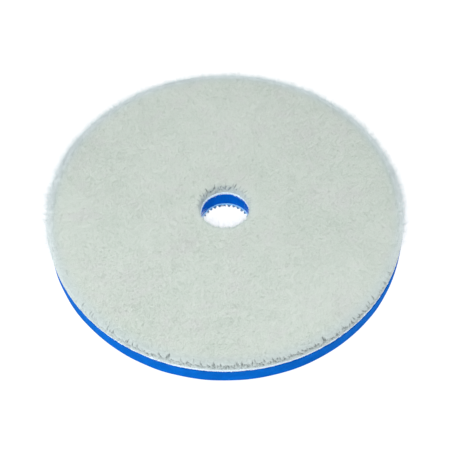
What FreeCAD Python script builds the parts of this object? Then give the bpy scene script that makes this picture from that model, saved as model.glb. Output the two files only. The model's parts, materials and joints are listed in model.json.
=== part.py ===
"""Flat polishing pad for a 150 mm hook-and-loop backing plate, as its bonded layers.

Seven rings lie on one another about the Z axis, from the hook-and-loop face at Z 0 up to the
cut pile. One die stroke cuts the centre hole through all of them. Every size is a cell of the
Dimensions sheet, in millimetres.
"""

import FreeCAD, Part
import os

import Sketcher

PARTS_FOLDER = "parts"

# Driving dimensions: alias, millimetres, what it is.
DRIVING = [
    ("foam_diameter", 152.0, "foam disc, nominal six inches"),
    ("hole_diameter", 22.2, "centre hole, nominal seven eighths of an inch"),
    ("pile_overhang", 0.6, "how far the pile spreads past the foam's rim"),
    ("backing_inset", 2.0, "how far the loop fabric stays inside the foam's rim"),
    ("nap_height", 1.1, "loops that the backing plate's hooks catch"),
    ("loop_cloth_thickness", 0.5, "warp-knit ground of the loop fabric"),
    ("lower_film_thickness", 0.2, "hot-melt film, loop fabric to foam"),
    ("foam_thickness", 7.0, "closed-cell foam interface"),
    ("upper_film_thickness", 0.3, "hot-melt film, foam to pile fabric"),
    ("ground_cloth_thickness", 1.0, "knitted ground that holds the pile"),
    ("pile_height", 4.4, "cut pile above its ground cloth"),
    ("pile_rim_round", 1.9, "rounding of the pile's outer top edge"),
    ("pile_root_round", 0.9, "undercut of the pile's outer root"),
    ("pile_hole_round", 0.8, "rounding of the pile's top edge at the hole"),
    ("foam_waist", 0.25, "how far the foam's rim draws in at mid height after die cutting"),
    ("nap_edge_round", 0.4, "rounding of the nap's outer lower edge"),
]

# Cells worked out from the driving ones: alias, formula.
DERIVED = [
    ("foam_radius", "=foam_diameter / 2"),
    ("hole_radius", "=hole_diameter / 2"),
    ("pile_radius", "=foam_radius + pile_overhang"),
    ("backing_radius", "=foam_radius - backing_inset"),
    ("loop_cloth_level", "=nap_height"),
    ("lower_film_level", "=loop_cloth_level + loop_cloth_thickness"),
    ("foam_level", "=lower_film_level + lower_film_thickness"),
    ("upper_film_level", "=foam_level + foam_thickness"),
    ("ground_cloth_level", "=upper_film_level + upper_film_thickness"),
    ("pile_level", "=ground_cloth_level + ground_cloth_thickness"),
    ("waist_radius", "=foam_radius - foam_waist"),
    # An arc of chord t and sagitta s has the radius (t^2 / 4 + s^2) / 2 s.
    ("rim_arc_radius", "=(foam_thickness^2 / 4 + foam_waist^2) / (2 * foam_waist)"),
]

# Layers that are plain rings with the centre hole: label, then the cells of the outer radius,
# the thickness and the level of the underside.
RINGS = [
    ("loop_ground_cloth", "backing_radius", "loop_cloth_thickness", "loop_cloth_level"),
    ("lower_bond_film", "backing_radius", "lower_film_thickness", "lower_film_level"),
    ("upper_bond_film", "foam_radius", "upper_film_thickness", "upper_film_level"),
    ("pile_ground_cloth", "foam_radius", "ground_cloth_thickness", "ground_cloth_level"),
]


def make_sheet(doc):
    """The Dimensions sheet: driving cells as plain numbers, derived ones as formulas."""
    sheet = doc.addObject("Spreadsheet::Sheet", "Dimensions")
    row = 1
    for alias, value, meaning in DRIVING:
        sheet.set(f"A{row}", meaning)
        sheet.set(f"B{row}", str(value))
        sheet.setAlias(f"B{row}", alias)
        row += 1
    doc.recompute()
    for alias, formula in DERIVED:
        sheet.set(f"A{row}", alias.replace("_", " "))
        sheet.set(f"B{row}", formula)
        sheet.setAlias(f"B{row}", alias)
        doc.recompute()
        row += 1
    return sheet


def origin_plane(body, role):
    """One of a body's own origin planes, found by its role."""
    return next(f for f in body.Origin.OriginFeatures if f.Role == role)


def new_body(doc, label, level):
    """An empty body whose Placement stands at a level of the sheet."""
    body = doc.addObject("PartDesign::Body", label)
    body.Label = label
    body.setExpression("Placement.Base.z", f"Dimensions.{level}")
    return body


def new_sketch(body, name, role):
    """A sketch on one of the body's origin planes."""
    sketch = body.newObject("Sketcher::SketchObject", name)
    sketch.AttachmentSupport = [(origin_plane(body, role), "")]
    sketch.MapMode = "FlatFace"
    return sketch


def add_circle(sketch, cell, start_radius):
    """A circle about the sketch's origin whose radius is a cell of the sheet."""
    circle = Part.Circle(FreeCAD.Vector(0, 0, 0), FreeCAD.Vector(0, 0, 1), start_radius)
    index = sketch.addGeometry(circle, False)
    sketch.addConstraint(Sketcher.Constraint("Coincident", index, 3, -1, 1))
    radius = sketch.addConstraint(Sketcher.Constraint("Radius", index, start_radius))
    sketch.renameConstraint(radius, cell)
    sketch.setExpression(f"Constraints.{cell}", f"Dimensions.{cell}")


def make_ring(doc, sheet, label, radius_cell, thickness_cell, level_cell):
    """A flat ring with the centre hole, padded up from its level."""
    body = new_body(doc, label, level_cell)
    sketch = new_sketch(body, f"{label}_outline", "XY_Plane")
    add_circle(sketch, radius_cell, getattr(sheet, radius_cell))
    add_circle(sketch, "hole_radius", sheet.hole_radius)
    pad = body.newObject("PartDesign::Pad", f"{label}_pad")
    pad.Profile = sketch
    pad.setExpression("Length", f"Dimensions.{thickness_cell}")
    doc.recompute()
    return body


def rim_edge(shape, radius, height):
    """The name of the circular edge of that radius at that height above the body's origin."""
    for number, edge in enumerate(shape.Edges, start=1):
        round_edge = isinstance(edge.Curve, Part.Circle)
        if not round_edge or abs(edge.Curve.Radius - radius) > 1e-6:
            continue
        if abs(edge.Curve.Center.z - height) < 1e-6:
            return f"Edge{number}"
    raise ValueError(f"no edge of radius {radius} at height {height}")


def round_edge(doc, body, name, radius, height, cell):
    """Rounds one rim of a ring by a cell of the sheet, and makes that the body's tip."""
    base = body.Tip
    fillet = body.newObject("PartDesign::Fillet", name)
    fillet.Base = (base, [rim_edge(base.Shape, radius, height)])
    fillet.setExpression("Radius", f"Dimensions.{cell}")
    doc.recompute()
    body.Tip = fillet


def make_loop_nap(doc, sheet):
    """The layer of loops: it lies on the backing plate's hooks at Z 0."""
    body = new_body(doc, "loop_nap", "loop_cloth_level")
    sketch = new_sketch(body, "loop_nap_outline", "XY_Plane")
    add_circle(sketch, "backing_radius", sheet.backing_radius)
    add_circle(sketch, "hole_radius", sheet.hole_radius)
    pad = body.newObject("PartDesign::Pad", "loop_nap_pad")
    pad.Profile = sketch
    pad.Reversed = True
    pad.setExpression("Length", "Dimensions.nap_height")
    doc.recompute()
    lower_edge = (sheet.backing_radius, -sheet.nap_height)
    round_edge(doc, body, "loop_nap_edge", *lower_edge, "nap_edge_round")
    return body


def make_foam_core(doc, sheet):
    """The foam ring, revolved: its rim is an arc that draws in at mid height."""
    body = new_body(doc, "foam_core", "foam_level")
    sketch = new_sketch(body, "foam_core_section", "XZ_Plane")
    inner, outer = sheet.hole_radius, sheet.foam_radius
    waist, top = sheet.waist_radius, sheet.foam_thickness
    point = FreeCAD.Vector
    bottom_line = Part.LineSegment(point(inner, 0, 0), point(outer, 0, 0))
    rim_arc = Part.Arc(point(outer, 0, 0), point(waist, top / 2, 0), point(outer, top, 0))
    top_line = Part.LineSegment(point(outer, top, 0), point(inner, top, 0))
    hole_line = Part.LineSegment(point(inner, top, 0), point(inner, 0, 0))
    bottom, rim, upper, hole = sketch.addGeometry([bottom_line, rim_arc, top_line, hole_line], False)
    # A sketch keeps an arc counter-clockwise, so the rim's arc starts at its upper end.
    joints = [(bottom, 2, rim, 2), (rim, 1, upper, 1), (upper, 2, hole, 1), (hole, 2, bottom, 1)]
    for first, first_end, second, second_end in joints:
        sketch.addConstraint(
            Sketcher.Constraint("Coincident", first, first_end, second, second_end)
        )
    sketch.addConstraint(Sketcher.Constraint("Horizontal", bottom))
    sketch.addConstraint(Sketcher.Constraint("Horizontal", upper))
    sketch.addConstraint(Sketcher.Constraint("Vertical", hole))
    sketch.addConstraint(Sketcher.Constraint("PointOnObject", bottom, 1, -1))
    sketch.addConstraint(Sketcher.Constraint("Equal", bottom, upper))
    sizes = [
        ("hole_radius", Sketcher.Constraint("DistanceX", -1, 1, bottom, 1, inner)),
        ("foam_radius", Sketcher.Constraint("DistanceX", -1, 1, bottom, 2, outer)),
        ("foam_thickness", Sketcher.Constraint("DistanceY", -1, 1, hole, 1, top)),
        ("rim_arc_radius", Sketcher.Constraint("Radius", rim, sheet.rim_arc_radius)),
    ]
    for cell, constraint in sizes:
        index = sketch.addConstraint(constraint)
        sketch.renameConstraint(index, cell)
        sketch.setExpression(f"Constraints.{cell}", f"Dimensions.{cell}")
    turn = body.newObject("PartDesign::Revolution", "foam_core_turn")
    turn.Profile = sketch
    turn.ReferenceAxis = (sketch, ["V_Axis"])
    turn.Angle = 360.0
    doc.recompute()
    return body


def make_pile_tufts(doc, sheet):
    """The cut pile as one soft ring, rounded at its rim, its root and the hole."""
    body = make_ring(doc, sheet, "pile_tufts", "pile_radius", "pile_height", "pile_level")
    crown = sheet.pile_height
    round_edge(doc, body, "pile_rim", sheet.pile_radius, crown, "pile_rim_round")
    round_edge(doc, body, "pile_root", sheet.pile_radius, 0.0, "pile_root_round")
    round_edge(doc, body, "pile_mouth", sheet.hole_radius, crown, "pile_hole_round")
    return body


def check(doc, bodies):
    """Stops before anything is written if an object failed or a piece isn't one valid solid."""
    for item in doc.Objects:
        if "Invalid" in item.State or "Error" in item.State:
            raise RuntimeError(f"{item.Label} failed: {item.State}")
    for body in bodies:
        shape = body.Shape
        if shape.isNull() or not shape.isValid() or len(shape.Solids) != 1:
            raise RuntimeError(f"{body.Label} isn't one valid solid")


def main():
    doc = FreeCAD.newDocument("PolishingPad")
    sheet = make_sheet(doc)
    bodies = [make_ring(doc, sheet, *ring) for ring in RINGS]
    bodies += [make_loop_nap(doc, sheet), make_foam_core(doc, sheet), make_pile_tufts(doc, sheet)]
    doc.recompute()
    check(doc, bodies)
    os.makedirs(PARTS_FOLDER, exist_ok=True)
    for body in bodies:
        body.Shape.exportStep(os.path.join(PARTS_FOLDER, f"{body.Label}.step"))
        box = body.Shape.BoundBox
        print(f"{body.Label}: Z {box.ZMin:.2f} to {box.ZMax:.2f}, volume {body.Shape.Volume:.0f}")


main()
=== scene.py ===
"""Looks of a cut-pile polishing pad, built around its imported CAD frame.

Lengths are metres in the frame's axes: Z up, the hook-and-loop face at Z 0, the pile on top. The
pad is a stack of rings about Z. Each ring's radii and levels are read from its CAD node, and what
die cutting, knitting and brushing do to it is added here as mesh.
"""

import itertools
import json
import math

import bpy
import numpy as np
from mathutils import Matrix, Vector


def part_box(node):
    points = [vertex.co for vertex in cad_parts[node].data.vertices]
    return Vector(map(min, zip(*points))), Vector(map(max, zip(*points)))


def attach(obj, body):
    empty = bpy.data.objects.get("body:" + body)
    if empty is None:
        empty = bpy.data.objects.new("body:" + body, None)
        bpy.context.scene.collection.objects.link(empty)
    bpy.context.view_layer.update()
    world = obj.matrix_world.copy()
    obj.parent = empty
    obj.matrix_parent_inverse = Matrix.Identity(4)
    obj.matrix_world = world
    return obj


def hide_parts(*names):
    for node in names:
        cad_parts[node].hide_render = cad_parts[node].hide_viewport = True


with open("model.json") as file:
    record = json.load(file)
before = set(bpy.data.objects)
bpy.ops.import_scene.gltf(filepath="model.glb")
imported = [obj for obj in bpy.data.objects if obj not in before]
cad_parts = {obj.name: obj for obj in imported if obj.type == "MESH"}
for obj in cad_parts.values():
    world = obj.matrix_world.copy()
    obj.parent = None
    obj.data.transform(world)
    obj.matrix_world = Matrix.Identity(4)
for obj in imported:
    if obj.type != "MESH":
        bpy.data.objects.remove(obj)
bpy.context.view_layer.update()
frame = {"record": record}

MM = 0.001
UP = np.array([0.0, 0.0, 1.0])
TOLERANCE = 1e-6  # two lengths that differ by less are the same

# How many points a ring has, from the hole out to the rim: as many as the last, or twice as many.
HOLE_POINTS, INNER_POINTS, OUTER_POINTS, RIM_POINTS = 384, 384, 768, 1536


# ---- sizes read from the frame ----


def layer(node):
    """(outer radius, lowest level, highest level) of a CAD ring."""
    low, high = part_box(node)
    return high.x, low.z, high.z


def hole_radius():
    """The radius of the die-cut centre hole, from the record's bore."""
    bore = next(m for m in frame["record"]["mounts"] if m["kind"] == "bore")
    return bore["dims"]["r_mm"] * MM


HOLE = hole_radius()
PILE_RIM, PILE_ROOT, PILE_TOP = layer("pile_tufts")


# ---- noise: the same on every run, because it depends only on the place and a seed ----


def cell_value(cells, seed):
    """A value from 0 to 1 for each lattice cell, scrambled from its three numbers."""
    mixed = cells[:, 0] * 73856093 ^ cells[:, 1] * 19349663 ^ cells[:, 2] * 83492791
    mixed = (mixed ^ seed * 1299709) & 0xFFFFFFFF
    mixed = (mixed ^ (mixed >> 15)) * 2246822519 & 0xFFFFFFFF
    mixed = (mixed ^ (mixed >> 13)) * 3266489917 & 0xFFFFFFFF
    return (mixed ^ (mixed >> 16)) / 0xFFFFFFFF


def smooth_noise(points, cell, seed):
    """Smooth noise from -1 to 1 with features about one cell across."""
    scaled = points / cell
    base = np.floor(scaled).astype(np.int64)
    part = scaled - base
    fade = part * part * (3 - 2 * part)
    total = np.zeros(len(points))
    for corner in itertools.product((0, 1), repeat=3):
        weight = np.where(np.array(corner), fade, 1 - fade).prod(axis=1)
        total += weight * cell_value(base + np.array(corner), seed)
    return 2 * total - 1


def nearest_seed(points, cell, seed):
    """The nearest of one scattered seed point per cell, and how far off it is, in cells."""
    scaled = points / cell
    base = np.floor(scaled).astype(np.int64)
    best = np.full(len(points), np.inf)
    found = np.zeros_like(points)
    for offset in itertools.product((-1, 0, 1), repeat=3):
        cells = base + np.array(offset)
        spot = cells + np.stack([cell_value(cells, seed + axis) for axis in range(3)], axis=1)
        distance = np.linalg.norm(spot - scaled, axis=1)
        closer = distance < best
        best[closer] = distance[closer]
        found[closer] = spot[closer]
    return found * cell, best


# ---- meshes ----


def new_piece(name, points, face_groups, material):
    """A smooth-shaded object from points and arrays of faces, one array per number of corners."""
    corners = np.concatenate([faces.ravel() for faces in face_groups])
    sizes = np.concatenate([np.full(len(faces), faces.shape[1]) for faces in face_groups])
    mesh = bpy.data.meshes.new(name)
    mesh.vertices.add(len(points))
    mesh.vertices.foreach_set("co", points.astype(np.float32).ravel())
    mesh.loops.add(len(corners))
    mesh.loops.foreach_set("vertex_index", corners.astype(np.int32))
    mesh.polygons.add(len(sizes))
    mesh.polygons.foreach_set("loop_start", (np.cumsum(sizes) - sizes).astype(np.int32))
    mesh.update(calc_edges=True)
    mesh.shade_smooth()
    mesh.materials.append(material)
    piece = bpy.data.objects.new(name, mesh)
    bpy.context.scene.collection.objects.link(piece)
    return piece


def store_shade(piece, attribute, values):
    """Keeps one number per point, which the piece's material reads by name: here how much painted
    shade the point gets.
    """
    layer_of_values = piece.data.attributes.new(attribute, "FLOAT", "POINT")
    layer_of_values.data.foreach_set("value", values.astype(np.float32))


def from_polar(angle, radius, level):
    """Points of the frame from their angle, radius and level."""
    places = (radius * np.cos(angle), radius * np.sin(angle), level)
    return np.stack(np.broadcast_arrays(*places), axis=1)


def outwards(angle):
    """Unit vectors away from the Z axis."""
    return from_polar(angle, 1.0, 0.0)


def sideways(angle):
    """Unit vectors along the circle about the Z axis."""
    return outwards(angle + math.pi / 2)


def section_through(corners):
    """The points of a section as (radius, level, points on its ring), without the last corner.

    Each corner is (radius, level, about how far apart the points are from there on, points on a
    ring from there on).
    """
    section = []
    for (r0, z0, step, count), (r1, z1, _, _) in itertools.pairwise(corners):
        steps = max(1, round(math.hypot(r1 - r0, z1 - z0) / step))
        for share in np.arange(steps) / steps:
            section.append((r0 + (r1 - r0) * share, z0 + (z1 - z0) * share, count))
    return section


def ring_faces(first, second, start, next_start):
    """(quads, triangles) that join a ring to the next, which may have half or twice its points."""
    few = min(first, second)
    k = np.arange(few)
    if first == second:
        on = (k + 1) % few
        return np.stack([start + k, start + on, next_start + on, next_start + k], axis=1), None
    middle, on, twice_on = 2 * k + 1, (k + 1) % few, (2 * k + 2) % (2 * few)
    if first < second:
        a, b, f0 = start + k, start + on, next_start + 2 * k
        f1, f2 = next_start + middle, next_start + twice_on
        fans = [(a, b, f1), (b, f2, f1), (a, f1, f0)]
    else:
        a, b, f0 = next_start + k, next_start + on, start + 2 * k
        f1, f2 = start + middle, start + twice_on
        fans = [(f0, f1, a), (f1, b, a), (f1, f2, b)]
    return None, np.concatenate([np.stack(fan, axis=1) for fan in fans])


def lathe(section):
    """Turns a closed section, given anticlockwise, about Z.

    Returns the angle, radius and level of every point, the points and the faces.
    """
    counts = [count for _, _, count in section]
    starts = np.cumsum([0] + counts)
    angle = np.concatenate([np.arange(n) * math.tau / n for n in counts])
    radius = np.concatenate([np.full(n, r) for r, _, n in section])
    level = np.concatenate([np.full(n, z) for _, z, n in section])
    groups = []
    for i, count in enumerate(counts):
        after = (i + 1) % len(counts)
        groups.append(ring_faces(count, counts[after], starts[i], starts[after]))
    quads = np.concatenate([q for q, _ in groups if q is not None])
    triangles = np.concatenate([t for _, t in groups if t is not None])
    return angle, radius, level, from_polar(angle, radius, level), [quads, triangles]


def walls(radius, inner, outer):
    """Which points of a ring are on the rim's wall, and which on the hole's."""
    return radius > outer - TOLERANCE, radius < inner + TOLERANCE


ASKEW = np.array([0.36, 0.48, 0.8])  # a direction that no strand takes


def strands(paths, thickness, pointed):
    """Three-sided strands along paths of shape (strands, points, 3), as points and faces.

    thickness is one radius per path point. A pointed strand ends in a single point.
    """
    count, length = paths.shape[:2]
    along = np.gradient(paths, axis=1)
    along /= np.linalg.norm(along, axis=2, keepdims=True)
    side = np.cross(along, ASKEW)
    side /= np.linalg.norm(side, axis=2, keepdims=True)
    other = np.cross(along, side)
    rings = length - 1 if pointed else length
    turns = np.arange(3) * math.tau / 3
    swing = side[:, :rings, None] * np.cos(turns)[:, None]
    swing = swing + other[:, :rings, None] * np.sin(turns)[:, None]
    tube = paths[:, :rings, None] + swing * np.asarray(thickness)[:rings, None, None]
    points = tube.reshape(count, rings * 3, 3)
    quads = [
        (3 * k + s, 3 * k + (s + 1) % 3, 3 * k + 3 + (s + 1) % 3, 3 * k + 3 + s)
        for k in range(rings - 1)
        for s in range(3)
    ]
    last = 3 * (rings - 1)
    if pointed:
        points = np.concatenate([points, paths[:, -1:]], axis=1)
        triangles = [(last + s, last + (s + 1) % 3, last + 3) for s in range(3)]
    else:
        triangles = [(last, last + 1, last + 2)]
    triangles.append((2, 1, 0))
    first = points.shape[1] * np.arange(count)[:, None, None]
    groups = [
        (np.array(faces)[None] + first).reshape(-1, len(faces[0])) for faces in (quads, triangles)
    ]
    return points.reshape(-1, 3), groups


def strand_piece(name, paths, thickness, material, pointed=True):
    """Strands as one piece."""
    points, faces = strands(paths, thickness, pointed)
    return new_piece(name, points, faces, material)


def strand_pieces(name, paths, group, *looks):
    """The same, as a piece for each group number from 0 up."""
    return [
        strand_piece(f"{name}_{number + 1}", paths[group == number], *looks)
        for number in range(group.max() + 1)
    ]


def loop_paths(centre, along, width, pull, waist, count):
    """Paths of open loops whose ends lie at each side of their centre.

    pull is the way from the centre to the loop's crown, and waist how much narrower the ends are
    than the middle, as a share of the width.
    """
    path = []
    for share in np.linspace(0, 1, count):
        bow = math.sin(share * math.pi)
        swing = -math.cos(share * math.pi) * (1 - waist + waist * bow)
        path.append(centre + along * (width * swing)[:, None] + pull * bow)
    return np.stack(path, axis=1)


# ---- materials ----


class Shader:
    """A Principled material and the nodes that feed it. sockets holds the shader's plain values."""

    def __init__(self, name, sockets):
        self.material = bpy.data.materials.new(name)
        self.material.use_nodes = True
        self.nodes = self.material.node_tree.nodes
        self.principled = self.nodes["Principled BSDF"]
        for socket, value in sockets.items():
            self.principled.inputs[socket].default_value = value
        self.place = self.add("ShaderNodeTexCoord").outputs["Object"]

    def add(self, kind, inputs=None, **settings):
        """A node with its settings, whose inputs hold values or are linked from sockets."""
        node = self.nodes.new(kind)
        for setting, value in settings.items():
            setattr(node, setting, value)
        for key, value in (inputs or {}).items():
            self.feed(node.inputs[key], value)
        return node

    def feed(self, socket, value):
        if isinstance(value, bpy.types.NodeSocket):
            self.material.node_tree.links.new(value, socket)
        else:
            socket.default_value = value

    def noise(self, size, detail=2.0, roughness=0.5, distortion=0.0, stretch=(1, 1, 1)):
        """Noise from 0 to 1 with features about size metres across, stretched along the axes."""
        scale = {"Vector": self.place, "Scale": tuple(1 / s for s in stretch)}
        place = self.add("ShaderNodeMapping", scale).outputs["Vector"]
        inputs = {
            "Vector": place,
            "Scale": 1 / size,
            "Detail": detail,
            "Roughness": roughness,
            "Distortion": distortion,
        }
        return self.add("ShaderNodeTexNoise", inputs).outputs["Fac"]

    def ramp(self, factor, stops):
        """Colours or greys blended along a factor; stops are (place, colour) pairs."""
        node = self.add("ShaderNodeValToRGB", {"Fac": factor})
        elements = node.color_ramp.elements
        while len(elements) < len(stops):
            elements.new(0.5)
        for element, (place, colour) in zip(elements, stops):
            element.position = place
            element.color = (*colour, 1.0) if isinstance(colour, tuple) else (colour,) * 3 + (1.0,)
        return node.outputs["Color"]

    def band(self, value, start, end):
        """A value mapped smoothly so that start gives 0 and end gives 1."""
        inputs = {"Value": value, "From Min": start, "From Max": end}
        node = self.add("ShaderNodeMapRange", inputs, interpolation_type="SMOOTHSTEP")
        return node.outputs["Result"]

    def from_axis(self):
        """The distance from the Z axis."""
        flat = self.add(
            "ShaderNodeVectorMath", {0: self.place, 1: (1, 1, 0)}, operation="MULTIPLY"
        ).outputs["Vector"]
        return self.add("ShaderNodeVectorMath", {0: flat}, operation="LENGTH").outputs["Value"]

    def along_y(self, start, end):
        """0 at one place along Y and 1 at another."""
        parts = self.add("ShaderNodeSeparateXYZ", {"Vector": self.place})
        return self.band(parts.outputs["Y"], start, end)

    def specks(self, size, dark, light):
        """A few cells of that size that are darker or lighter than the rest."""
        cells = {"Vector": self.place, "Scale": 1 / size}
        chance = self.add("ShaderNodeTexVoronoi", cells).outputs["Color"]
        return self.ramp(chance, [(0.17, dark), (0.20, 1.0), (0.84, 1.0), (0.88, light)])

    def mix(self, factor, first, second, blend="MIX"):
        """Two colours blended by a factor."""
        node = self.add("ShaderNodeMix", data_type="RGBA", blend_type=blend)
        # A Mix node's inputs 6 and 7 and its output 2 are the ones for colours.
        for number, value in ((0, factor), (6, first), (7, second)):
            self.feed(node.inputs[number], (*value, 1.0) if isinstance(value, tuple) else value)
        return node.outputs[2]

    def times(self, first, second):
        """Two colours multiplied."""
        return self.mix(1.0, first, second, blend="MULTIPLY")

    def bump(self, height, depth, strength=1.0, over=None):
        """Relief of that depth in metres, on top of another relief where there is one."""
        inputs = {"Height": height, "Distance": depth, "Strength": strength}
        if over is not None:
            inputs["Normal"] = over
        return self.add("ShaderNodeBump", inputs).outputs["Normal"]

    def finish(self, colour, roughness=None, relief=None):
        self.feed(self.principled.inputs["Base Color"], colour)
        if roughness is not None:
            self.feed(self.principled.inputs["Roughness"], roughness)
        if relief is not None:
            self.feed(self.principled.inputs["Normal"], relief)
        return self.material


NEAR_PAINTED_LIGHT, FAR_PAINTED_LIGHT = 1.005, 0.965  # painted shade: how bright the pile is painted at the near rim and at the far one, darker at the back
# painted shade: the colour that the pile darkens towards in its gaps and on its opened walls
GAP_SHADE_COLOUR = (0.08, 0.11, 0.11)
FAR_RIM_PAINTED_LIGHT = (0.93, 0.99, 0.995)  # painted light: the far rim's pale colour, for light coming through the thin pile there


def tint_and_painted_light(shader, colour, at_rim, at_hole):
    """The pile's colour as it changes over the pad, with painted light and shade.

    It turns towards a tint near the hole, where the pile is thin, and towards a cooler tint near
    the rim, which is painted sheen. Painted shade makes the pile a little duller from front to
    back, and painted light makes it pale at the far rim, for light coming through the thin pile
    there.
    """
    radius = shader.from_axis()
    # painted sheen: a cooler tint towards the rim
    colour = shader.mix(shader.band(radius, PILE_RIM - 7 * MM, PILE_RIM + 1.0 * MM), colour, at_rim)
    colour = shader.mix(shader.band(radius, HOLE + 4 * MM, HOLE - 1.5 * MM), colour, at_hole)
    # painted shade: the pile a little duller from front to back
    painted_falloff = shader.ramp(shader.along_y(-PILE_RIM, PILE_RIM), [(0.0, NEAR_PAINTED_LIGHT), (1.0, FAR_PAINTED_LIGHT)])
    colour = shader.times(colour, painted_falloff)
    # painted light: pale at the far rim
    far_half = shader.along_y(-0.5 * PILE_RIM, 0.0)
    thin_end = shader.band(radius, PILE_RIM - 3.2 * MM, PILE_RIM - 0.9 * MM)
    far_rim = shader.add("ShaderNodeMath", {0: far_half, 1: thin_end}, operation="MULTIPLY")
    return shader.mix(far_rim.outputs["Value"], colour, FAR_RIM_PAINTED_LIGHT)


def shaded(shader, colour):
    """Painted shade: a colour that goes dark by as much as the piece's own gap attribute says, for
    the shade deep in the gaps between tufts and on the opened walls.
    """
    gap = shader.add("ShaderNodeAttribute", attribute_name="gap").outputs["Fac"]
    return shader.mix(gap, colour, GAP_SHADE_COLOUR)


SOFT_YARN = {"Specular IOR Level": 0.1, "Sheen Weight": 0.1}


def glowing_yarn(colour, strength):
    """Shader values of yarn that gives back more light than it takes, by a faint glow that is
    painted light.
    """
    return {**SOFT_YARN, "Emission Color": (*colour, 1.0), "Emission Strength": strength}


def pile_material():
    """Off-white cut pile: a faint green-grey cast, soft mottling, and painted shade deep between
    the tufts and on the opened walls.
    """
    shader = Shader("pile", {**SOFT_YARN, "Sheen Roughness": 0.5})
    patches = shader.ramp(
        shader.noise(11 * MM, detail=3, distortion=0.4),
        [(0.35, (0.70, 0.77, 0.715)), (0.52, (0.72, 0.785, 0.73)), (0.68, (0.72, 0.76, 0.73))],
    )
    flecks = shader.ramp(
        shader.noise(0.8 * MM, detail=2, distortion=0.6, stretch=(1, 2.2, 1)),
        [(0.26, 0.90), (0.36, 1.0), (0.66, 1.0), (0.76, 1.03)],
    )
    lit = shader.times(patches, flecks)
    lit = tint_and_painted_light(shader, lit, at_rim=(0.68, 0.775, 0.775), at_hole=(0.70, 0.78, 0.74))
    weave = shader.noise(0.35 * MM, detail=3, stretch=(1, 1.6, 1))
    return shader.finish(
        shaded(shader, lit),
        roughness=shader.ramp(shader.noise(2 * MM), [(0.0, 0.85), (1.0, 1.0)]),
        relief=shader.bump(weave, 0.2 * MM),
    )


def fibre_material():
    """One pile fibre: off-white with the pile's cast, each a little lighter or duller, with painted
    shade on the opened walls.
    """
    shader = Shader("pile_fibre", SOFT_YARN)
    tints = shader.ramp(
        shader.noise(0.9 * MM, detail=2, distortion=0.5),
        [(0.30, (0.765, 0.83, 0.785)), (0.50, (0.785, 0.85, 0.805)), (0.70, (0.80, 0.86, 0.82))],
    )
    patches = shader.ramp(
        shader.noise(13 * MM, detail=2, distortion=0.5),
        [(0.36, (0.945, 0.985, 0.945)), (0.62, (1.0, 0.995, 0.985))],
    )
    colour = shader.times(tints, patches)
    colour = shader.times(colour, shader.specks(0.5 * MM, 0.82, 1.06))
    colour = tint_and_painted_light(shader, colour, at_rim=(0.765, 0.862, 0.86), at_hole=(0.78, 0.855, 0.82))
    rough = shader.ramp(shader.noise(1.5 * MM), [(0.0, 0.75), (1.0, 0.95)])
    return shader.finish(shaded(shader, colour), rough)


def fine_fibre_material():
    """A single fine fibre end: light comes through it, which a faint glow stands for."""
    shader = Shader("pile_fine_fibre", glowing_yarn((0.88, 1.0, 0.98), 0.045))
    colour = shader.ramp(
        shader.noise(1.1 * MM, detail=2), [(0.35, (0.82, 0.89, 0.91)), (0.65, (0.88, 0.94, 0.95))]
    )
    rough = shader.ramp(shader.noise(1.5 * MM), [(0.0, 0.75), (1.0, 0.95)])
    return shader.finish(colour, rough)


def foam_material():
    """Fine closed-cell foam, dyed a strong blue right through."""
    values = {
        "Specular IOR Level": 0.0,
        "Sheen Weight": 0.10,
        "Sheen Roughness": 0.35,
        "Sheen Tint": (0.35, 0.75, 1.0, 1.0),
    }
    shader = Shader("foam", values)
    body = shader.ramp(
        shader.noise(5 * MM, detail=4, distortion=0.3),
        [(0.3, (0.0, 0.12, 0.56)), (0.7, (0.001, 0.155, 0.69))],
    )
    cells = shader.add(
        "ShaderNodeTexVoronoi", {"Vector": shader.place, "Scale": 1 / (0.32 * MM)}
    ).outputs["Distance"]
    walls = shader.ramp(cells, [(0.15, 0.86), (0.55, 1.0)])
    colour = shader.times(body, walls)
    rough = shader.ramp(shader.noise(1.2 * MM), [(0.3, 0.62), (0.7, 0.85)])
    return shader.finish(colour, rough, shader.bump(cells, 0.06 * MM))


WAVE_PITCH = 0.314  # how far apart a wave texture's bands are at scale 1


def cloth_material(name, pale, dull, rib, glow=(0, 0, 0), painted_glow=0.0):
    """Knitted yarn: two tints, and loops one rib apart in the relief.

    painted_glow is the strength of a faint glow, painted light that brightens the yarn past what
    the lamps give it.
    """
    shader = Shader(name, glowing_yarn(glow, painted_glow))
    colour = shader.ramp(shader.noise(1.1 * MM, detail=3), [(0.30, dull), (0.62, pale)])
    wave = shader.add(
        "ShaderNodeTexWave",
        {"Vector": shader.place, "Scale": WAVE_PITCH / rib, "Distortion": 1.5, "Detail Scale": 2.0},
        bands_direction="DIAGONAL",
    ).outputs["Fac"]
    threads = shader.noise(0.25 * MM, detail=2)
    relief = shader.bump(threads, 0.08 * MM, over=shader.bump(wave, 0.1 * MM))
    rough = shader.ramp(shader.noise(0.8 * MM), [(0.2, 0.8), (0.8, 0.95)])
    return shader.finish(colour, rough, relief)


def film_material():
    """Hot-melt film, a darker blue than the foam, slightly glossy where it has run at the edge."""
    shader = Shader("bond_film", {"Specular IOR Level": 0.15})
    colour = shader.ramp(
        shader.noise(1.6 * MM, detail=3), [(0.3, (0.0, 0.07, 0.36)), (0.7, (0.01, 0.11, 0.50))]
    )
    rough = shader.ramp(shader.noise(0.9 * MM), [(0.3, 0.35), (0.7, 0.6)])
    return shader.finish(colour, rough, shader.bump(shader.noise(0.5 * MM, detail=3), 0.06 * MM))


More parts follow.
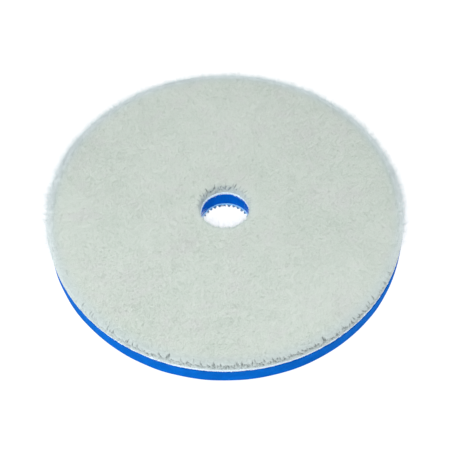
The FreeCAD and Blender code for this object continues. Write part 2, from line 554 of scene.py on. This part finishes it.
def floor_material():
    """A pale studio floor that glows a little, so that it stays pale in the pad's own shade."""
    shader = Shader("pale_floor", {"Specular IOR Level": 0.0})
    tone = shader.ramp(shader.noise(0.4, detail=1), [(0.3, 0.20), (0.7, 0.22)])
    shader.principled.inputs["Emission Color"].default_value = (1, 1, 1, 1)
    shader.principled.inputs["Emission Strength"].default_value = 0.95
    return shader.finish(tone)


# ---- the foam and the films ----

FOAM_WAIST = 0.12 * MM  # how far the foam's walls draw in at mid height
FOAM_SWELL = 0.25 * MM  # how far the cut foam springs back past the die's line
CELL_SIZE = 0.62 * MM
CELL_DEPTH = 0.07 * MM
HOLE_BAND, RIM_BAND = 3 * MM, 2.7 * MM  # the parts of a ring's faces that are finer, at its edges


def arch(level, low, high):
    """1 half way up a wall and 0 at its two ends."""
    return 1 - (2 * (level - low) / (high - low) - 1) ** 2


def ring_section(inner, outer, low, high, step, fine=0.3 * MM, floor_step=None):
    """A ring's section whose walls and outer edges are fine and whose hidden middle is coarse.

    floor_step is for an underside that is seen, which needs smaller steps.
    """
    floor_step = floor_step or step
    near_hole, near_rim = inner + HOLE_BAND, outer - RIM_BAND
    third, two_thirds = inner + (outer - inner) / 3, inner + (outer - inner) * 2 / 3
    corners = [
        (inner, low, 2 * fine, HOLE_POINTS),
        (near_hole, low, floor_step, INNER_POINTS),
        (third, low, floor_step, OUTER_POINTS),
        (two_thirds, low, floor_step, RIM_POINTS),
        (near_rim, low, fine, RIM_POINTS),
        (outer, low, fine, RIM_POINTS),
        (outer, high, 2 * fine, RIM_POINTS),
        (near_rim, high, step, OUTER_POINTS),
        (two_thirds, high, step, INNER_POINTS),
        (third, high, step, HOLE_POINTS),
        (inner, high, fine, HOLE_POINTS),
    ]
    return section_through(corners + corners[:1])


def make_foam(material):
    """The foam ring: cut cells on its walls and underside, and walls drawn in at mid height."""
    outer, low, high = layer("foam_core")
    section = ring_section(HOLE, outer, low, high, 12 * MM)
    angle, radius, level, points, faces = lathe(section)
    _, distance = nearest_seed(points, CELL_SIZE, seed=3)
    cut = CELL_DEPTH * (0.75 - distance) * 2 + 0.03 * MM * smooth_noise(points, 0.3 * MM, seed=7)
    sway = 0.12 * MM * smooth_noise(points, 9 * MM, seed=8)
    rim, hole = walls(radius, HOLE, outer)
    at_corner = np.minimum(level - low, high - level) < TOLERANCE
    draw_in = FOAM_WAIST * arch(level, low, high)
    spring = FOAM_SWELL + FOAM_WAIST - draw_in + sway
    radius = np.where(rim, radius + spring - cut * ~at_corner, radius)
    radius = np.where(hole, radius + 0.6 * draw_in + cut * ~at_corner, radius)
    underside = (level < low + TOLERANCE) & ~hole & ~rim
    level = np.where(underside, level + cut.clip(0), level)
    return new_piece("foam_disc", from_polar(angle, radius, level), faces, material)


def make_film(node, name, material, seed):
    """A bond film whose two edges run out in small beads."""
    outer, low, high = layer(node)
    section = ring_section(HOLE, outer, low, high, 25 * MM, fine=(high - low) / 2)
    angle, radius, level, points, faces = lathe(section)
    bead = 0.10 * MM * smooth_noise(points, 1.4 * MM, seed) + 0.06 * MM
    bead *= arch(level, low, high)
    rim, hole = walls(radius, HOLE, outer)
    radius = radius + bead * rim - bead * hole
    return new_piece(name, from_polar(angle, radius, level), faces, material)


# ---- the two knitted ground cloths ----


def rows(angle, radius, pitch):
    """A wave from -1 to 1 that goes round a circle in whole loops of about that pitch."""
    loops = round(math.tau * radius / pitch)
    return np.sin(angle * loops)


# How far the pile fabric lies off the foam's centre: the die cut the layers a little askew.
FABRIC_SHIFT = np.array([-0.10, 0.0, 0.0]) * MM
CLOTH_SPREAD = 0.04 * MM  # how far the ground cloth's knit has spread past the die's line
HOLE_CREEP = 0.45 * MM  # how far it has crept into the hole


def make_pile_ground_cloth(material):
    """The white knit under the pile, cut through so that its yarn loops stand out at both edges."""
    outer, low, high = layer("pile_ground_cloth")
    outer += CLOTH_SPREAD
    inner = HOLE - HOLE_CREEP
    section = ring_section(inner, outer, low, high, 12 * MM, fine=0.2 * MM)
    angle, radius, level, points, faces = lathe(section)
    swell = arch(level, low, high)
    loose = 0.10 * MM * smooth_noise(points, 1.3 * MM, seed=21)
    loose += 0.07 * MM * smooth_noise(points, 0.45 * MM, seed=22)
    yarn = 0.10 * MM * rows(angle + 4 * level, outer, 0.9 * MM)
    hole_yarn = 0.08 * MM * rows(angle, inner, 0.85 * MM)
    rim, hole = walls(radius, inner, outer)
    radius = np.where(rim, radius + (yarn + 0.1 * MM) * swell + loose, radius)
    radius = np.where(hole, radius - (hole_yarn + 0.1 * MM) * swell - 1.7 * loose, radius)
    top = level > high - TOLERANCE
    knobs = 0.12 * MM * smooth_noise(points, 0.7 * MM, seed=23)
    level = np.where(top, level + knobs.clip(-0.05 * MM, None), level)
    points = from_polar(angle, radius, level) + FABRIC_SHIFT
    return new_piece("pile_knit_cloth", points, faces, material)


NAP_REACH = 0.35 * MM  # how far the loop fabric stands into the hole, past the foam


def make_loop_ground_cloth(material):
    """The warp knit that carries the loops; its cut edge at the hole is uneven."""
    outer, low, high = layer("loop_ground_cloth")
    inner = HOLE - NAP_REACH
    section = ring_section(inner, outer, low, high, 12 * MM, fine=0.17 * MM)
    angle, radius, level, points, faces = lathe(section)
    uneven = 0.10 * MM * smooth_noise(points, 1.1 * MM, seed=31)
    ribs = 0.08 * MM * rows(angle, outer, 1.0 * MM) * arch(level, low, high)
    rim, hole = walls(radius, inner, outer)
    radius = np.where(rim, radius + ribs + uneven, radius)
    radius = np.where(hole, radius - uneven, radius)
    level = np.where(hole & (level > high - TOLERANCE), level + 0.10 * MM, level)
    return new_piece("loop_knit_cloth", from_polar(angle, radius, level), faces, material)


# ---- the pile ----

FIBRE_REACH = 0.5 * MM  # how far the fibres stand off the pile's dense body

# Brushing has pushed the pile over to the back: how far its top lies off its roots, and how far a
# fibre leans, as a share of its length.
NAP_DRIFT = np.array([0.0, 0.45, 0.0]) * MM
NAP_LEAN = np.array([-0.08, 0.35, 0.0])


def drifted(points):
    """Points of the upright pile, moved as the brushing moved them: most at the top."""
    share = ((points[:, 2:] - PILE_ROOT) / (PILE_TOP - PILE_ROOT)).clip(0, 1)
    return points + FABRIC_SHIFT + NAP_DRIFT * share


def pile_profile():
    """The dense body's outline from the rim's root over the top to the hole's root.

    Its corners are as section_through takes them.
    """
    outer, low, high = layer("pile_tufts")
    top = high - FIBRE_REACH
    step = 0.31 * MM
    outer_half = HOLE + (outer - HOLE) / 2
    inner_sixth = HOLE + (outer - HOLE) / 6
    return [
        (outer - 0.68 * MM, low - 0.1 * MM, step, RIM_POINTS),
        (outer - 0.70 * MM, low + 0.8 * MM, step, RIM_POINTS),
        (outer - 0.73 * MM, low + 2.2 * MM, step, RIM_POINTS),
        (outer - 0.70 * MM, low + 3.0 * MM, step, RIM_POINTS),
        (outer - 1.15 * MM, top - 0.38 * MM, step, RIM_POINTS),
        (outer - 2.10 * MM, top - 0.09 * MM, step, RIM_POINTS),
        (outer - 3.50 * MM, top, 0.72 * MM, OUTER_POINTS),
        (outer_half, top, 0.72 * MM, INNER_POINTS),
        (inner_sixth, top, 0.60 * MM, INNER_POINTS),
        (HOLE + 2.00 * MM, top - 0.05 * MM, 0.3 * MM, HOLE_POINTS),
        (HOLE + 0.70 * MM, top - 0.35 * MM, 0.3 * MM, HOLE_POINTS),
        (HOLE + 0.10 * MM, top - 1.00 * MM, 0.3 * MM, HOLE_POINTS),
        (HOLE - 0.10 * MM, low + 1.2 * MM, 0.3 * MM, HOLE_POINTS),
        (HOLE - 0.25 * MM, low - 0.1 * MM, 0.3 * MM, HOLE_POINTS),
    ]


def pile_section():
    """The dense body's closed section: its upper outline and a plain underside on the cloth."""
    outline = pile_profile()
    rim, buried = outline[0][:2]
    hole = outline[-1][0]
    underside = [
        (hole, buried, 15 * MM, INNER_POINTS),
        ((hole + rim) / 2, buried, 15 * MM, OUTER_POINTS),
        (rim - 4 * MM, buried, 2 * MM, RIM_POINTS),
    ]
    return section_through(outline[:-1] + underside + outline[:1])


class Gaps:
    """Gaps between the tufts round one wall of the pile, a pitch apart more or less, darkened with
    painted shade.

    centre is their usual height above the ground cloth, spread how far it varies, length half the
    longest gap and deepest the depth of the deepest, from 0 to 1. They lean a little, each its own
    way.
    """

    def __init__(self, radius, pitch, centre, spread, length, deepest, seed):
        rng = np.random.default_rng(seed)
        self.radius = radius
        self.count = round(math.tau * radius / pitch)
        place = np.arange(self.count) + rng.uniform(-0.33, 0.33, self.count)
        self.angle = place * math.tau / self.count
        self.height = centre + rng.normal(0, spread, self.count)
        self.length = rng.uniform(0.35, 1.0, self.count) * length
        self.width = rng.uniform(0.18, 0.40, self.count) * MM
        self.strength = rng.uniform(0.55, 1.0, self.count) * deepest
        self.lean = rng.normal(0.35, 0.35, self.count)

    def depth(self, angle, height):
        """How deep in a gap each point of the wall is, from 0 to 1."""
        nearest = np.rint(angle / math.tau * self.count).astype(int)
        deepest = np.zeros(len(angle))
        for neighbour in (-1, 0, 1):
            k = (nearest + neighbour) % self.count
            turn = (angle - self.angle[k] + math.pi) % math.tau - math.pi
            rise = height - self.height[k]
            across = turn * self.radius + self.lean[k] * rise
            shape = np.exp(-((across / self.width[k]) ** 2) - (rise / self.length[k]) ** 2)
            deepest = np.maximum(deepest, shape * self.strength[k])
        return deepest


RIM_GAPS = Gaps(PILE_RIM, 1.05 * MM, 2.3 * MM, 0.55 * MM, 1.2 * MM, 1.0, seed=51)
SMALL_RIM_GAPS = Gaps(PILE_RIM, 0.95 * MM, 1.3 * MM, 0.70 * MM, 0.8 * MM, 1.0, seed=53)
HOLE_GAPS = Gaps(HOLE, 1.2 * MM, 2.6 * MM, 1.1 * MM, 1.5 * MM, 0.9, seed=52)
SMALL_HOLE_GAPS = Gaps(HOLE, 1.0 * MM, 1.6 * MM, 0.9 * MM, 0.8 * MM, 0.6, seed=55)
SIDE_BULGE = 0.35 * MM  # how far the pile bulges at the right of its rim
LEFT_BULGE_SHARE = 1.6  # how many times further it bulges at the left
RIM_GAP_DEPTH = 1.0 * MM
HOLE_GAP_DEPTH = 0.9 * MM
RIM_SHADE, HOLE_SHADE = 0.20, 0.14  # how dark the painted shade on the opened walls gets, from 0 to 1


def near_rim(radius, start, width=MM):
    """0 further in than start from the pile's rim, rising to 1 over a width."""
    return ((radius - PILE_RIM + start) / width).clip(0, 1)


def near_hole(radius, start, width=MM):
    """The same at the hole: 0 further out than start from its wall."""
    return ((HOLE + start - radius) / width).clip(0, 1)


def opened_and_shaded_at_rim(angle):
    """How far the brushing has parted the rim's tufts, from 0 to 1: most at the near side. It also
    scales the painted shade on the rim's wall.
    """
    return (-0.2 - 1.6 * np.sin(angle - math.radians(6))).clip(0, 1)


def opened_and_shaded_at_hole(angle):
    """The same at the hole, where the far wall is brushed open, more to its left. It also scales
    the painted shade on the hole's wall.
    """
    return (0.35 + 0.75 * np.cos(angle - math.radians(115))).clip(0, 1)


def gap_depths(angle, radius, level):
    """(depth in the rim's gaps, depth in the hole's gaps) of points on the pile."""
    height = level - PILE_ROOT
    rim = np.maximum(RIM_GAPS.depth(angle, height), SMALL_RIM_GAPS.depth(angle, height))
    hole = np.maximum(HOLE_GAPS.depth(angle, height), SMALL_HOLE_GAPS.depth(angle, height))
    rim *= near_rim(radius, 2.6 * MM) * opened_and_shaded_at_rim(angle)
    hole *= near_hole(radius, 2.2 * MM) * opened_and_shaded_at_hole(angle)
    return rim, hole


def laid_over(angle, radius):
    """How far the pile reaches into the hole, past its upright place, where it isn't opened."""
    mouth = from_polar(angle, HOLE, 0.0)
    reach = (0.50 + 0.30 * smooth_noise(mouth, 0.8 * MM, seed=54)) * MM
    return reach * near_hole(radius, 3 * MM, 2 * MM) * (1 - opened_and_shaded_at_hole(angle))


def pressed_out(angle, radius):
    """How far the pile bulges past its upright place at the two sides of the rim."""
    to_left = np.where(np.cos(angle) < 0, LEFT_BULGE_SHARE, 1.0)
    return SIDE_BULGE * near_rim(radius, 3 * MM, 2 * MM) * to_left * abs(np.cos(angle))


def moved_out(angle, radius):
    """How far the pile lies outside its upright place: out at the rim, in at the hole."""
    return pressed_out(angle, radius) - laid_over(angle, radius)


def wall_shade(angle, radius, level):
    """Painted shade: how much darker the pile is painted near its two edges, where the brushing
    opened its walls.
    """
    height = level - PILE_ROOT
    low_down = np.exp(-(((height - 1.6 * MM) / (1.6 * MM)) ** 2))
    rim = near_rim(radius, 4.5 * MM, 3 * MM) * (0.22 + 0.78 * low_down)
    hole = near_hole(radius, 2.2 * MM, 2 * MM) * ((5.2 * MM - height) / (2 * MM)).clip(0, 1)
    return RIM_SHADE * rim * opened_and_shaded_at_rim(angle) + HOLE_SHADE * hole * opened_and_shaded_at_hole(angle)


def pile_relief(points):
    """How far the pile's brushed surface stands in or out: soft clumps and a few parted creases."""
    clumps = 0.04 * MM * smooth_noise(points, 1.6 * MM, seed=41)
    clumps += 0.025 * MM * smooth_noise(points, 0.75 * MM, seed=42)
    hills = 0.16 * MM * smooth_noise(points, 14 * MM, seed=43)
    crease = np.exp(-((smooth_noise(points, 3.1 * MM, seed=44) / 0.07) ** 2))
    parted = (smooth_noise(points, 2.3 * MM, seed=45) - 0.35).clip(0, 1)
    return clumps + hills - 0.8 * MM * crease * parted


def make_pile_body(material):
    """The dense body of the pile: brushed top, rounded rim, and gaps in its opened walls."""
    angle, radius, level, points, faces = lathe(pile_section())
    rim_gap, hole_gap = gap_depths(angle, radius, level)
    shade = wall_shade(angle, radius, level)
    relief = np.where(level < PILE_ROOT, 0, pile_relief(points))
    rim_wall, hole_wall = near_rim(radius, 2.2 * MM), near_hole(radius, 1.6 * MM)
    radius = radius + moved_out(angle, radius) + (rim_wall - hole_wall) * relief
    radius = radius - RIM_GAP_DEPTH * rim_gap + HOLE_GAP_DEPTH * hole_gap
    level = level + (1 - rim_wall - hole_wall) * relief
    piece = new_piece("pile_body", drifted(from_polar(angle, radius, level)), faces, material)
    # painted shade: the gaps' depth and the opened walls' shade darken the body's colour through
    # the gap attribute
    store_shade(piece, "gap", np.max([rim_gap, hole_gap, shade], axis=0).clip(0, 0.95))
    return piece


def scatter_on_outline(count, rng):
    """Random places on the pile's outline, evenly over its area.

    Returns their angle, radius and level, and the direction out of the pile as (outwards, up).
    """
    profile = np.array([(r, z) for r, z, _, _ in pile_profile()])
    steps = np.diff(profile, axis=0)
    lengths = np.hypot(*steps.T)
    areas = lengths * (profile[:-1, 0] + profile[1:, 0])
    spans = rng.choice(len(areas), count, p=areas / areas.sum())
    start, end = profile[spans, 0], profile[spans + 1, 0]
    share = rng.uniform(0, 1, count)
    even = np.sqrt(start**2 + share * (end**2 - start**2))
    share *= (start + end) / (start + even)
    spot = profile[spans] + share[:, None] * steps[spans]
    out = np.stack([steps[spans, 1], -steps[spans, 0]], axis=1) / lengths[spans, None]
    return rng.uniform(0, math.tau, count), spot[:, 0], spot[:, 1], out


def on_outline(angle, radius, level, out):
    """(roots on the body's surface, directions away from it) of places on the pile's outline."""
    normal = outwards(angle) * out[:, :1] + UP * out[:, 1:]
    roots = from_polar(angle, radius, level)
    relief = pile_relief(roots)
    roots = from_polar(angle, radius + moved_out(angle, radius), level)
    return drifted(roots + normal * (relief - 0.25 * MM)[:, None]), normal


def in_gap(angle, radius, level):
    """How deep in a gap a fibre lies that runs up the wall from there, from 0 to 1."""
    reach = 0.7 * MM
    here = gap_depths(angle, radius, level)
    above = gap_depths(angle, radius, level + reach)
    return np.max([*here, *above], axis=0)


def make_pile_fibres(material, count, pieces):
    """The fibre ends that cover the pile, but for its gaps.

    They lean with the nap, each its own way, and gather a little in clumps.
    """
    rng = np.random.default_rng(61)
    angle, radius, level, out = scatter_on_outline(count, rng)
    clear = in_gap(angle, radius, level) < rng.uniform(0.03, 0.12, count)
    angle, radius, level, out = angle[clear], radius[clear], level[clear], out[clear]
    # painted shade for the fibres on the opened walls, which their gap attribute carries
    shade = wall_shade(angle, radius, level + 0.3 * MM)
    roots, normal = on_outline(angle, radius, level, out)
    on_wall = 1 - out[:, 1:].clip(0, 1)
    normal = normal * (1 - 0.7 * on_wall) + 0.8 * UP * on_wall
    lay = np.stack([smooth_noise(roots, 17 * MM, seed=s) for s in (62, 63, 64)], axis=1)
    swirl = np.stack([smooth_noise(roots, 2.6 * MM, seed=s) for s in (65, 66, 67)], axis=1)
    lean = 0.35 * lay + 0.15 * swirl + rng.normal(0, 0.32, roots.shape)
    lean *= 1 - 0.5 * on_wall
    length = rng.uniform(0.7, 1.35, len(roots))[:, None] * MM
    gather = (nearest_seed(roots, 1.25 * MM, seed=68)[0] - roots) * 0.16 * (1 - on_wall)
    middles = roots + length * (0.5 * normal + 0.25 * lean + 0.35 * NAP_LEAN) + 0.25 * gather
    tips = roots + length * (0.75 * normal + 0.62 * lean + NAP_LEAN) + gather
    tips[:, 2] = np.minimum(tips[:, 2], PILE_TOP + 0.25 * MM)
    paths = np.stack([roots, middles, tips], axis=1)
    sector = (angle / math.tau * pieces).astype(int)
    made = strand_pieces("pile_fibres", paths, sector, (0.038 * MM, 0.032 * MM, 0), material)
    for number, piece in enumerate(made):
        own = shade[sector == number]
        store_shade(piece, "gap", np.repeat(own, len(piece.data.vertices) // len(own)))
    return made


def make_stray_fibres(material, count, pieces):
    """Fine long ends that blur the pile's outline.

    The brushing has lifted them past the rim at its sides and back, and into the hole from its near
    side. The near rim has none.
    """
    rng = np.random.default_rng(69)
    angle, radius, level, out = scatter_on_outline(count, rng)
    lifted = ((0.40 + np.sin(angle)) / 0.5).clip(0, 1)
    at_rim = near_rim(radius, 3.6 * MM, 2 * MM) * (level > PILE_ROOT + 1.4 * MM)
    at_hole = near_hole(radius, 1.6 * MM) * (level > PILE_ROOT + 1.5 * MM)
    near_side = (-0.1 - 1.2 * np.sin(angle)).clip(0, 1)
    keep = rng.uniform(0, 1, count) < at_rim * lifted + 0.4 * at_hole * near_side
    angle, radius, level, out = angle[keep], radius[keep], level[keep], out[keep]
    roots, normal = on_outline(angle, radius, level, out)
    lean = rng.normal(0, 0.36, roots.shape)
    longest = 3.8 + 1.4 * abs(np.cos(angle))
    length = ((0.8 + longest * rng.uniform(0, 1, len(roots)) ** 3) * MM)[:, None]
    middles = roots + length * (0.55 * normal + 0.2 * lean + 0.35 * NAP_LEAN)
    tips = roots + length * (0.9 * normal + 0.75 * lean + NAP_LEAN) - 0.12 * UP * length
    tips[:, 2] = np.minimum(tips[:, 2], PILE_TOP + 1.4 * MM)
    paths = np.stack([roots, middles, tips], axis=1)
    sector = (angle / math.tau * pieces).astype(int)
    thickness = (0.026 * MM, 0.022 * MM, 0)
    return strand_pieces("pile_stray_fibres", paths, sector, thickness, material)


def make_root_tufts(material):
    """The rim's outermost tufts, narrow where the ground cloth holds them, between the gaps."""
    rng = np.random.default_rng(73)
    each = 13  # fibres in a tuft
    to_next = (np.roll(RIM_GAPS.angle, -1) - RIM_GAPS.angle) % math.tau
    centre = RIM_GAPS.angle + to_next / 2
    tufts = len(centre)
    angle = np.repeat(centre, each) + rng.normal(0, 0.12, tufts * each) * MM / PILE_RIM
    splay = rng.normal(0, 0.25, tufts * each) * MM / PILE_RIM
    tall = np.repeat(rng.uniform(0.8, 1.5, tufts), each) * rng.uniform(0.7, 1.15, tufts * each) * MM
    reach = rng.uniform(0.0, 0.3, tufts * each) * MM
    start = PILE_RIM - 1.0 * MM
    roots = from_polar(angle, start, PILE_ROOT - 0.05 * MM)
    half_way = start + 0.15 * MM + 0.5 * reach
    middles = from_polar(angle + 0.5 * splay, half_way, PILE_ROOT + 0.6 * tall)
    tips = from_polar(angle + splay, start + 0.25 * MM + reach, PILE_ROOT + tall)
    paths = np.stack([roots, middles, tips], axis=1) + FABRIC_SHIFT
    return strand_piece("pile_root_tufts", paths, (0.055 * MM, 0.05 * MM, 0), material)


def make_cut_ends(material, count):
    """White yarn ends that fray out of the ground cloth's cut edge, at the rim and in the hole."""
    outer, low, high = layer("pile_ground_cloth")
    rng = np.random.default_rng(71)
    in_hole = rng.uniform(0, 1, count) < 0.25
    angle = rng.uniform(0, math.tau, count)
    outward = np.where(in_hole, -1.0, 1.0)
    edge = np.where(in_hole, HOLE - HOLE_CREEP, outer + CLOTH_SPREAD + 0.1 * MM)
    level = rng.uniform(low, high, count)
    roots = from_polar(angle, edge - 0.3 * MM * outward, level)
    reach = rng.uniform(0.15, 0.35, count)[:, None] * (1 + 0.5 * in_hole[:, None]) * MM
    droop = rng.uniform(0.0, 1.0, count)[:, None] ** 2 * (0.2 + 0.8 * in_hole[:, None]) * MM
    stray = sideways(angle) * rng.normal(0, 0.4, count)[:, None] * MM
    off_edge = outwards(angle) * outward[:, None] * reach
    middles = roots + off_edge + 0.4 * stray
    tips = middles + 0.25 * off_edge + 0.6 * stray - UP * droop
    paths = np.stack([roots, middles, tips], axis=1) + FABRIC_SHIFT
    return strand_piece("ground_cloth_yarn_ends", paths, (0.09 * MM, 0.08 * MM, 0), material)


# ---- the loop nap ----

WALE_PITCH = 1.25 * MM
COURSE_PITCH = 1.05 * MM
TOOTH_PITCH = 2.1 * MM  # of the bunches of loops along the hole's cut edge
NAP_EDGE = HOLE - NAP_REACH - 0.1 * MM
BED_DEPTH = 0.45 * MM


def make_nap_bed(material):
    """The close bed of the nap under the open loops, ribbed along its wales."""
    outer, _, high = layer("loop_nap")
    bed = high - BED_DEPTH
    section = ring_section(NAP_EDGE, outer, bed, high, 12 * MM, 0.15 * MM, floor_step=1.35 * MM)
    angle, radius, level, points, faces = lathe(section)
    ragged = 0.55 * MM * rows(angle, NAP_EDGE, TOOTH_PITCH)
    ragged += 0.30 * MM * smooth_noise(points, 1.6 * MM, seed=81)
    fray = 0.15 * MM * smooth_noise(points, 1.2 * MM, seed=82)
    rim, hole = walls(radius, NAP_EDGE, outer)
    radius = radius + fray * rim - ragged * hole
    under = level < bed + TOLERANCE
    ribs = 0.10 * MM * np.sin(points[:, 0] * math.tau / WALE_PITCH)
    bumps = 0.06 * MM * smooth_noise(points, 0.9 * MM, seed=83)
    level = np.where(under, level + ribs + bumps, level)
    return new_piece("loop_nap_bed", from_polar(angle, radius, level), faces, material)


def make_nap_loops(material, pieces):
    """Rows of small loops, brushed over every way, that the backing plate's hooks catch."""
    outer, _, high = layer("loop_nap")
    rng = np.random.default_rng(91)
    x, y = np.meshgrid(
        np.arange(-outer, outer, WALE_PITCH), np.arange(-outer, outer, COURSE_PITCH), indexing="ij"
    )
    x, y = x.ravel(), y.ravel()
    x = x + rng.normal(0, 0.16, len(x)) * MM
    y = y + rng.normal(0, 0.18, len(y)) * MM
    inside = (np.hypot(x, y) < outer - 0.5 * MM) & (np.hypot(x, y) > HOLE - 0.3 * MM)
    x, y = x[inside], y[inside]
    count = len(x)
    along = outwards(rng.uniform(0, math.tau, count))
    lean = rng.normal(0, 0.30, (count, 3)) * MM
    lean[:, 2] = 0
    centre = np.stack([x, y, np.full(count, high - 0.4 * MM)], axis=1)
    depth = rng.uniform(0.45, 0.66, count) * MM
    width = rng.uniform(0.35, 0.6, count) * MM
    pull = lean - UP * depth[:, None]
    paths = loop_paths(centre, along, width, pull, waist=0.45, count=6)
    strip = np.digitize(y, np.linspace(-outer, outer, pieces + 1)[1:-1])
    return strand_pieces("loop_nap_loops", paths, strip, [0.075 * MM] * 6, material, False)


def make_hole_loops(material):
    """Loops bunched along the hole's cut edge: they make its scalloped outline."""
    _, _, high = layer("loop_nap")
    rng = np.random.default_rng(95)
    teeth = round(math.tau * NAP_EDGE / TOOTH_PITCH)
    each = 5  # loops in a bunch
    count = teeth * each
    tooth = (np.arange(teeth) + 0.25) * math.tau / teeth
    angle = np.repeat(tooth, each) + rng.normal(0, 0.30, count) * MM / NAP_EDGE
    reach = rng.uniform(0.5, 1.0, count) * MM
    width = rng.uniform(0.2, 0.42, count) * MM
    drop = rng.uniform(0.1, 0.55, count) * MM
    base = from_polar(angle, HOLE - NAP_REACH + 0.25 * MM, high - 0.3 * MM)
    pull = -outwards(angle) * reach[:, None] - UP * drop[:, None]
    paths = loop_paths(base, sideways(angle), width, pull, waist=0.0, count=7)
    return strand_piece("loop_nap_hole_fringe", paths, [0.085 * MM] * 7, material, pointed=False)


# ---- stage, light and camera ----

# The camera that saw the pad's rims and the hole's two ends as the photo shows them.
CAMERA_ELEVATION = math.radians(55.17)
CAMERA_DISTANCE = 0.4764
CAMERA_ROLL = math.radians(-0.69)
CAMERA_PAN = math.radians(-0.04)
CAMERA_TILT = math.radians(-0.08)
LENS_MM = 86.9
SENSOR_MM = 36.0

SKY_STRENGTH = 0.45
# Soft boxes: name, place, side of the square, watts.
SOFT_BOXES = [
    ("key", (-0.30, -0.40, 0.60), 0.5, 2.7),
    ("fill", (0.55, 0.05, 0.70), 0.8, 1.2),
    ("left", (-0.90, -0.25, 0.40), 0.6, 1.5),
    ("back", (0.0, 0.90, 0.16), 0.25, 1.9),
    ("right", (0.80, 0.50, 0.16), 0.25, 2.0),
]


def make_stage(material):
    """A wide pale floor under the pad."""
    bpy.ops.mesh.primitive_plane_add(size=8)
    floor = bpy.context.object
    floor.name = "floor"
    floor.data.materials.append(material)


def make_light(name, place, size, power):
    """A square soft box at a place, turned to the pad."""
    lamp = bpy.data.lights.new(name, "AREA")
    lamp.size = size
    lamp.energy = power
    light = bpy.data.objects.new(name, lamp)
    light.location = place
    light.rotation_euler = Vector(place).to_track_quat("Z", "Y").to_euler()
    bpy.context.scene.collection.objects.link(light)


def make_sky(strength):
    """Even white light from all round."""
    world = bpy.data.worlds.new("studio")
    world.use_nodes = True
    background = world.node_tree.nodes["Background"]
    background.inputs["Color"].default_value = (1, 1, 1, 1)
    background.inputs["Strength"].default_value = strength
    bpy.context.scene.world = world


def make_camera():
    """The camera looks along +Y and down at the centre of the foam's underside."""
    _, low, _ = layer("foam_core")
    aim = Vector((0, 0, low))
    back = Vector((0, -math.cos(CAMERA_ELEVATION), math.sin(CAMERA_ELEVATION)))
    turn = back.to_track_quat("Z", "Y").to_matrix()
    turn = turn @ Matrix.Rotation(-CAMERA_PAN, 3, "Y") @ Matrix.Rotation(CAMERA_TILT, 3, "X")
    turn = turn @ Matrix.Rotation(CAMERA_ROLL, 3, "Z")
    lens = bpy.data.cameras.new("camera")
    lens.lens = LENS_MM
    lens.sensor_width = SENSOR_MM
    lens.clip_start = 0.01
    camera = bpy.data.objects.new("camera", lens)
    camera.matrix_world = Matrix.Translation(aim + CAMERA_DISTANCE * back) @ turn.to_4x4()
    bpy.context.scene.collection.objects.link(camera)
    bpy.context.scene.camera = camera


# ---- the pad ----


def fit(piece, slot, *nodes):
    """The piece rides on the pad's one body and stands for CAD nodes, which it hides; slot is not
    used.
    """
    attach(piece, "root")
    if nodes:
        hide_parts(*nodes)
    return piece


def build_pad():
    pile, fibre, fine_fibre = pile_material(), fibre_material(), fine_fibre_material()
    foam, film = foam_material(), film_material()
    # The cloths' glows are painted light: they brighten the white knit, the cut yarn ends and the
    # blue loop cloth's cut edge.
    white_knit = cloth_material(
        "ground_cloth", (0.84, 0.93, 0.99), (0.74, 0.85, 0.96), 0.9 * MM, (0.5, 0.8, 1.0), 0.08
    )
    bright_yarn = cloth_material(
        "cut_yarn", (0.90, 0.95, 0.99), (0.84, 0.92, 0.98), 0.9 * MM, (0.6, 0.85, 1.0), 0.36
    )
    blue_knit = cloth_material(
        "loop_cloth", (0.34, 0.68, 0.98), (0.25, 0.57, 0.92), 1.0 * MM, (0.15, 0.55, 1.0), 0.24
    )
    nap = cloth_material("loop_nap", (0.19, 0.35, 0.57), (0.10, 0.22, 0.42), 0.8 * MM)

    foam_disc = fit(make_foam(foam), "foam", "foam_core")
    upper = make_film("upper_bond_film", "upper_glue_film", film, seed=11)
    fit(upper, "bond_film", "upper_bond_film")
    lower = make_film("lower_bond_film", "lower_glue_film", film, seed=12)
    fit(lower, "bond_film", "lower_bond_film")

    pile_cloth = fit(make_pile_ground_cloth(white_knit), "ground_cloth", "pile_ground_cloth")
    loop_cloth = fit(make_loop_ground_cloth(blue_knit), "loop_cloth", "loop_ground_cloth")
    fit(make_cut_ends(bright_yarn, 2600), "ground_cloth")

    pile_body = fit(make_pile_body(pile), "pile", "pile_tufts")
    fibres = make_pile_fibres(fibre, 120000, 7) + make_stray_fibres(fine_fibre, 540000, 4)
    for piece in fibres + [make_root_tufts(fine_fibre)]:
        fit(piece, "pile")

    fit(make_nap_bed(nap), "loop_nap", "loop_nap")
    for piece in make_nap_loops(nap, 3):
        fit(piece, "loop_nap")
    fit(make_hole_loops(nap), "loop_nap")


build_pad()
make_stage(floor_material())
make_sky(SKY_STRENGTH)
for soft_box in SOFT_BOXES:
    make_light(*soft_box)
make_camera()
bpy.context.scene.view_settings.view_transform = "Standard"
